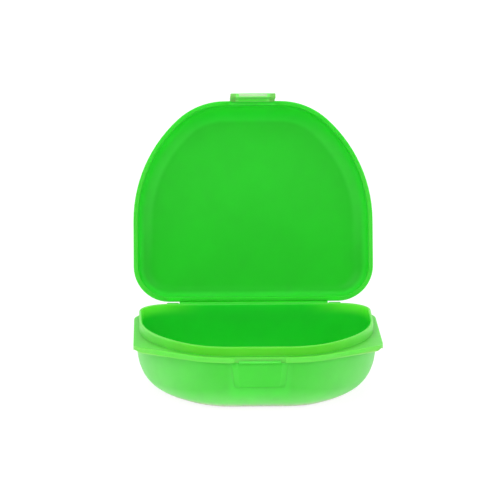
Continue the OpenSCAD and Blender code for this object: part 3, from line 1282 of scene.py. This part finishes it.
@dataclass
class Latch:
    """The snap tab on the lid's free edge, with its root rail."""

    lid: OpenLid
    width: float = 15 * MM
    thickness: float = 1.1 * MM
    drop: float = 9.6 * MM
    rise: float = 2.5 * MM
    gap: float = 0.5 * MM
    sunk: float = 0.4 * MM
    tab_round: Rounding = Rounding(0.3 * MM, 3, SLOPED)
    outer_turn: float = 0.5
    lip_out: float = 0.2 * MM
    lip_h: float = 1.3 * MM
    barb_reach: float = 0.9 * MM
    barb_ramp: float = 2 * MM
    barb_tip: float = 0.5 * MM
    barb_z: float = 16.88 * MM
    barb_short: float = 0.2 * MM
    barb_round: Rounding = Rounding(0.15 * MM, 2, SLOPED)
    rib_w: float = 1.8 * MM
    rib_in: float = 0.3 * MM
    rib_lift: float = 0.3 * MM
    rail_t: float = 0.4 * MM
    rail_gap: float = 0.4 * MM
    rail_sunk: float = 0.3 * MM
    rail_round: Rounding = Rounding(0.12 * MM, 2, SQUARE)

    def build_tab(self, bm: BMesh) -> None:
        """Draws the tab with its pull lip, barb and end ribs, turned open.

        Args:
            bm: The empty mesh that is drawn in.
        """
        part = self.lid.plan.parting_z
        inner = self.lid.plan.front_y - self.gap
        outer, core = inner - self.thickness, inner - self.sunk
        low, top = part - self.drop, part + self.rise
        lip, lip_z = outer - self.lip_out, low + self.lip_h
        plain_bar(bm, [(inner, low), (inner, top), (outer, top), (outer, lip_z + self.lip_h), (lip, lip_z),
                       (lip, low)], self.width)
        soften(bm, self.tab_round)
        tip, ramp_z = inner + self.barb_reach, self.barb_z - self.barb_ramp
        added = plain_bar(bm, [(core, self.barb_z), (tip, self.barb_z), (tip, self.barb_z - self.barb_tip),
                               (inner, ramp_z), (core, ramp_z)], self.width - self.barb_short)
        rib, rib_z = inner + self.rib_in, low + self.rib_lift
        rib_x = (self.width - self.rib_w) / 2
        for x in (-rib_x, rib_x):
            added += plain_bar(bm, [(core, rib_z), (rib, rib_z), (rib, part), (core, part)], self.rib_w, x)
        fresh = set(added)
        soften(bm, self.barb_round, lambda edge: fresh.issuperset(edge.verts))
        # The inner faces take the tab's painted light and shade.
        mark_inside(bm, lambda face: face.normal.y > -self.outer_turn)
        self.lid.turn_open(bm)

    def build_root(self, bm: BMesh) -> None:
        """Draws the rail that carries the tab, turned open.

        Args:
            bm: The empty mesh that is drawn in.
        """
        front, part = self.lid.plan.front_y, self.lid.plan.parting_z
        near, far = front - self.rail_t, front + self.rail_sunk
        low, top = part + self.rail_gap, part + self.rise
        plain_bar(bm, [(far, low), (near, low), (near, top), (far, top)], self.width)
        soften(bm, self.rail_round)
        self.lid.turn_open(bm)
        # The faces that look to the front take the lit tone: painted light where the rail lies in shade.
        mark_inside(bm, lambda face: face.normal.y < -TURNED)

    def dress(self, tab: bpy.types.Material, root: bpy.types.Material) -> None:
        """Builds the latch's pieces and gives them their finishes."""
        piece(self.build_tab, "latch_pull", tab, Body.LATCH, Slot.LATCH, "latch_tab")
        piece(self.build_root, "latch_rail", root, Body.LID, Slot.LID, "latch_root")


@dataclass(frozen=True)
class Lamp:
    """A soft square lamp: its place in metres, its side and its power."""

    name: str
    place: Triple
    size: float
    power: float


@dataclass
class Studio:
    """White ground, soft lamps and the photograph's camera."""

    target: Triple = (-2.25 * MM, 0.0, 46.93 * MM)
    azimuth: float = math.radians(1.58)
    elevation: float = math.radians(12.2)
    distance: float = 1.528
    focal_px: float = 4700.0
    frame_px: float = 500.0
    sensor: float = 36.0
    farthest: float = 20.0
    ambient: float = 0.8
    floor_half: float = 3.0
    floor_gap: float = 0.05 * MM
    floor_plain: Triple = (0.98, 0.98, 0.98)
    floor_shade: Triple = (0.22, 0.22, 0.22)
    floor_bright: float = 0.88
    lamps: tuple[Lamp, ...] = (
        Lamp("key", (-0.7, -0.9, 1.1), 0.9, 5.0),
        Lamp("fill", (0.9, -0.9, 0.9), 0.9, 3.0),
        Lamp("back", (0.0, 1.0, 1.0), 0.9, 3.5),
    )

    def seen(self, graph: Graph) -> Val:
        """Tells the rays that see the surround: camera, glossy and transmission rays.

        Args:
            graph: The nodes of the ground or the world.

        Returns:
            1 for those rays, and 0 for others.
        """
        path = graph.add("ShaderNodeLightPath")
        seen = path.output("Is Camera Ray").max(path.output("Is Glossy Ray"))
        return seen.max(path.output("Is Transmission Ray"))

    def ground_material(self) -> bpy.types.Material:
        """Makes a white that keeps a soft shadow where it is seen, and plain white for other light.

        Returns:
            The new material.
        """
        made = bpy.data.materials.new("white_ground")
        graph = Graph(made)
        plain = graph.add("ShaderNodeBsdfDiffuse", {}, {"Color": self.floor_plain})
        shade = graph.add("ShaderNodeBsdfDiffuse", {}, {"Color": self.floor_shade})
        bright = graph.add("ShaderNodeEmission", {}, {"Color": WHITE, "Strength": self.floor_bright})
        shown = graph.add("ShaderNodeAddShader", {}, {0: shade, 1: bright})
        surface = graph.add("ShaderNodeMixShader", {}, {0: self.seen(graph), 1: plain, 2: shown})
        graph.add("ShaderNodeOutputMaterial", {}, {"Surface": surface})
        return made

    def build_ground(self) -> None:
        """Lays the white floor under the case."""
        bm = bmesh.new()
        bmesh.ops.create_grid(bm, x_segments=1, y_segments=1, size=self.floor_half,
                              matrix=Matrix.Translation((0, 0, -self.floor_gap)))
        mesh = bpy.data.meshes.new("floor")
        bm.to_mesh(mesh)
        bm.free()
        mesh.materials.append(self.ground_material())
        floor = stand("floor", mesh)

    def build_world(self) -> None:
        """Sets a white surround for what sees it, and a plain level of soft light."""
        world = bpy.data.worlds.new("soft_white")
        bpy.context.scene.world = world
        graph = Graph(world)
        strength = self.ambient + self.seen(graph) * (1.0 - self.ambient)
        surround = graph.add("ShaderNodeBackground", {}, {"Color": WHITE, "Strength": strength})
        graph.add("ShaderNodeOutputWorld", {}, {"Surface": surround})

    def build_lamps(self) -> None:
        """Hangs the soft lamps round the case."""
        for lamp in self.lamps:
            light = bpy.data.lights.new(lamp.name, "AREA")
            light.size = lamp.size
            light.energy = lamp.power
            hung = stand(lamp.name, light)
            hung.location = lamp.place
            aim = Vector(self.target) - Vector(lamp.place)
            hung.rotation_euler = aim.to_track_quat("-Z", "Y").to_euler()

    def build_camera(self) -> None:
        """Sets the camera to the photograph's view."""
        level = math.cos(self.elevation)
        forward = Vector((math.sin(self.azimuth) * level, math.cos(self.azimuth) * level,
                          -math.sin(self.elevation)))
        lens = bpy.data.cameras.new("photo_camera")
        lens.sensor_width = self.sensor
        lens.lens = self.sensor * self.focal_px / self.frame_px
        lens.clip_end = self.farthest
        camera = stand("photo_camera", lens)
        camera.location = Vector(self.target) - forward * self.distance
        camera.rotation_euler = forward.to_track_quat("-Z", "Y").to_euler()
        bpy.context.scene.camera = camera

    def dress(self) -> None:
        """Builds the whole studio."""
        bpy.context.scene.view_settings.view_transform = "Standard"
        self.build_camera()
        self.build_ground()
        self.build_world()
        self.build_lamps()
        log.info("studio: %d lamps", len(self.lamps))


def main() -> None:
    """Builds the case and its studio."""
    logging.basicConfig(level=logging.INFO, format="%(message)s")
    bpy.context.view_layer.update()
    plan = Outline()
    base, lid = Base(plan), OpenLid(plan)
    Studio().dress()
    base.dress(BASE_GREEN.material(), SEAT_GREEN.material())
    lid.dress(LID_GREEN.material())
    hinge_green = HINGE_GREEN.material()
    Hinge(base, lid).dress(hinge_green, PIN_GREEN.material())
    Latch(lid).dress(TAB_GREEN.material(), hinge_green)


if __name__ == "__main__":
    main()
